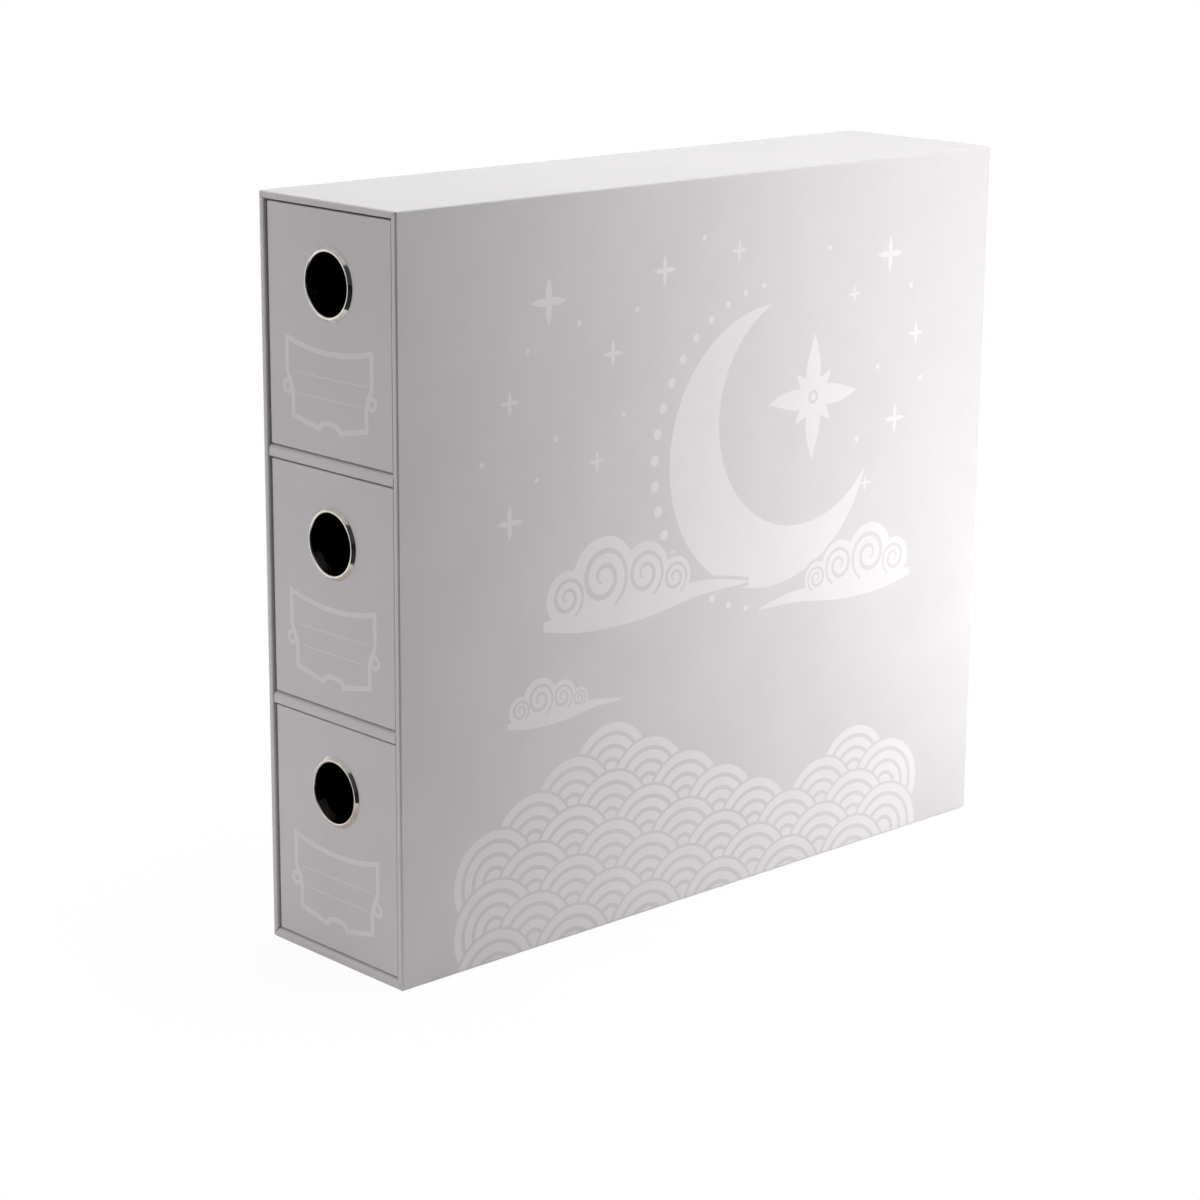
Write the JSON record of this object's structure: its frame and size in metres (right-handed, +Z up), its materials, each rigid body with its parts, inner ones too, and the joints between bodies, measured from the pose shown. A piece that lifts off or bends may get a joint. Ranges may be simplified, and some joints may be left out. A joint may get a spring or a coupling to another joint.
{
  "type": "trading card drawer box",
  "caption": "Tall narrow paper-covered board box standing on edge, open at one end, with stacked card drawers that slide out by metal-rimmed finger holes.",
  "frame": {"origin": "middle of the underside of the shell, on the surface that the box stands on", "axes": "+Z up; the drawer fronts face -Y and the drawers slide out along -Y; +X is to the right of someone who faces the drawers"},
  "size_m": [0.082, 0.3356, 0.303],
  "materials": {
    "covering_paper": "satin",
    "greyboard": "matte",
    "lining_paper": "matte",
    "ring_metal": "polished"
  },
  "bodies": {
    "shell": {"shelf_lower_board": "greyboard", "shelf_lower_paper": "covering_paper", "shelf_upper_board": "greyboard", "shelf_upper_paper": "covering_paper", "shell_back_board": "greyboard", "shell_back_paper": "covering_paper", "shell_base_paper": "covering_paper", "shell_bottom_board": "greyboard", "shell_left_board": "greyboard", "shell_lining_back": "lining_paper", "shell_lining_bottom": "lining_paper", "shell_lining_left": "lining_paper", "shell_lining_right": "lining_paper", "shell_lining_top": "lining_paper", "shell_outer_wrap": "covering_paper", "shell_right_board": "greyboard", "shell_top_board": "greyboard"},
    "drawer_top": {"drawer_top_back_board": "greyboard", "drawer_top_bottom_board": "greyboard", "drawer_top_finger_ring": "ring_metal", "drawer_top_front_board": "greyboard", "drawer_top_left_board": "greyboard", "drawer_top_lining": "lining_paper", "drawer_top_right_board": "greyboard", "drawer_top_ring_washer": "ring_metal", "drawer_top_wrap": "covering_paper"},
    "drawer_middle": {"drawer_middle_back_board": "greyboard", "drawer_middle_bottom_board": "greyboard", "drawer_middle_finger_ring": "ring_metal", "drawer_middle_front_board": "greyboard", "drawer_middle_left_board": "greyboard", "drawer_middle_lining": "lining_paper", "drawer_middle_right_board": "greyboard", "drawer_middle_ring_washer": "ring_metal", "drawer_middle_wrap": "covering_paper"},
    "drawer_bottom": {"drawer_bottom_back_board": "greyboard", "drawer_bottom_bottom_board": "greyboard", "drawer_bottom_finger_ring": "ring_metal", "drawer_bottom_front_board": "greyboard", "drawer_bottom_left_board": "greyboard", "drawer_bottom_lining": "lining_paper", "drawer_bottom_right_board": "greyboard", "drawer_bottom_ring_washer": "ring_metal", "drawer_bottom_wrap": "covering_paper"}
  },
  "joints": [
    {"name": "drawer_top_slide", "type": "slide", "parent": "shell", "child": "drawer_top", "axis": [0, -1, 0], "range_m": [0, 0.3]},
    {"name": "drawer_middle_slide", "type": "slide", "parent": "shell", "child": "drawer_middle", "axis": [0, -1, 0], "range_m": [0, 0.3]},
    {"name": "drawer_bottom_slide", "type": "slide", "parent": "shell", "child": "drawer_bottom", "axis": [0, -1, 0], "range_m": [0, 0.3]}
  ]
}
